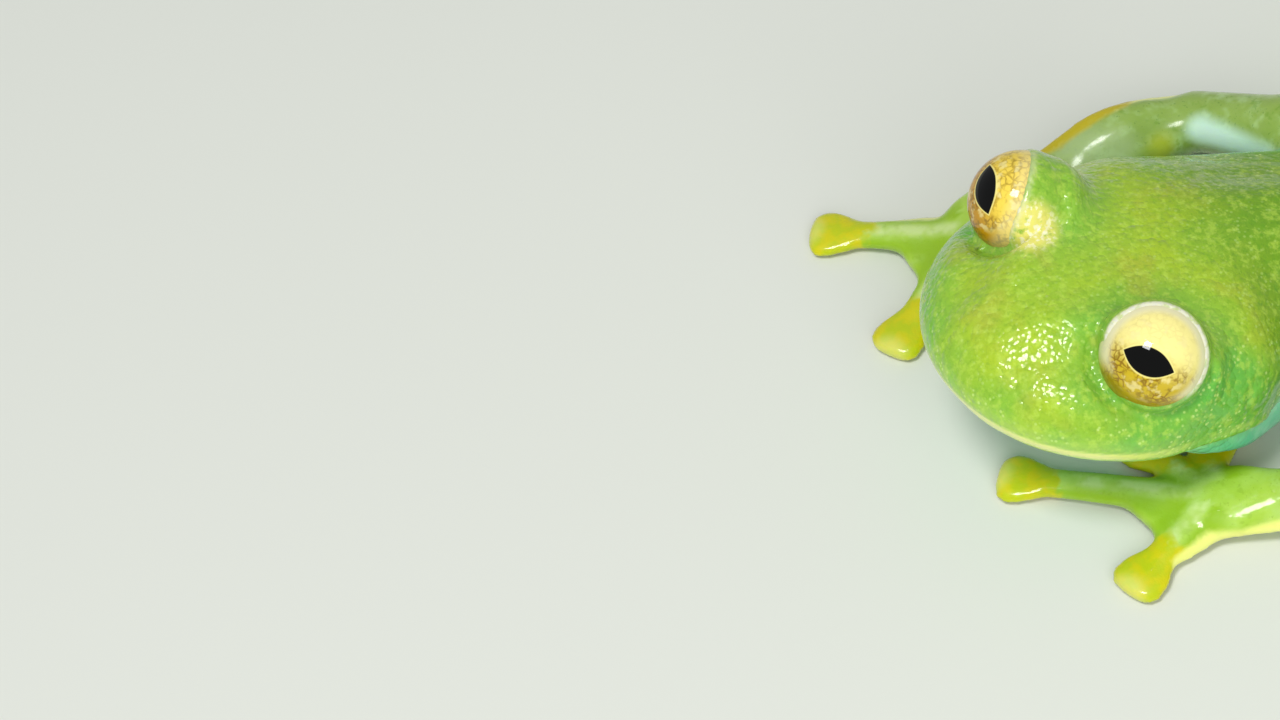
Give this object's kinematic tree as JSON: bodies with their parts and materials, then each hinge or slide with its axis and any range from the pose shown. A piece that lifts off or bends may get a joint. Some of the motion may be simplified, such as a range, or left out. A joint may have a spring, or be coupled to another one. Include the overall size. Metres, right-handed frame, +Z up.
{
  "type": "glass frog",
  "caption": "Still life-size glass frog lying on its belly, head raised and turned a little, large eyes on top, hands spread, legs folded, square-ended finger discs.",
  "frame": {"origin": "middle of the footprint, on the floor that the frog rests on", "axes": "-Y towards the snout, +X to the frog's left, +Z up from the floor"},
  "size_m": [0.0288, 0.0306, 0.0074],
  "materials": {
    "back_skin": "wet, finely granular, translucent yellow-green skin",
    "limb_skin": "wet, smooth, translucent pale green skin",
    "digit_skin": "wet, smooth, translucent yellow-green skin",
    "eye": "glossy golden eye with a black level pupil"
  },
  "bodies": {
    "root": {"head": "back_skin", "torso": "back_skin", "eye_left": "eye", "eye_right": "eye", "upper_arm_left": "limb_skin", "forearm_left": "limb_skin", "hand_left": "digit_skin", "thigh_left": "limb_skin", "shank_left": "limb_skin", "tarsus_left": "limb_skin", "foot_left": "digit_skin", "upper_arm_right": "limb_skin", "forearm_right": "limb_skin", "hand_right": "digit_skin", "thigh_right": "limb_skin", "shank_right": "limb_skin", "tarsus_right": "limb_skin", "foot_right": "digit_skin"}
  },
  "joints": []
}
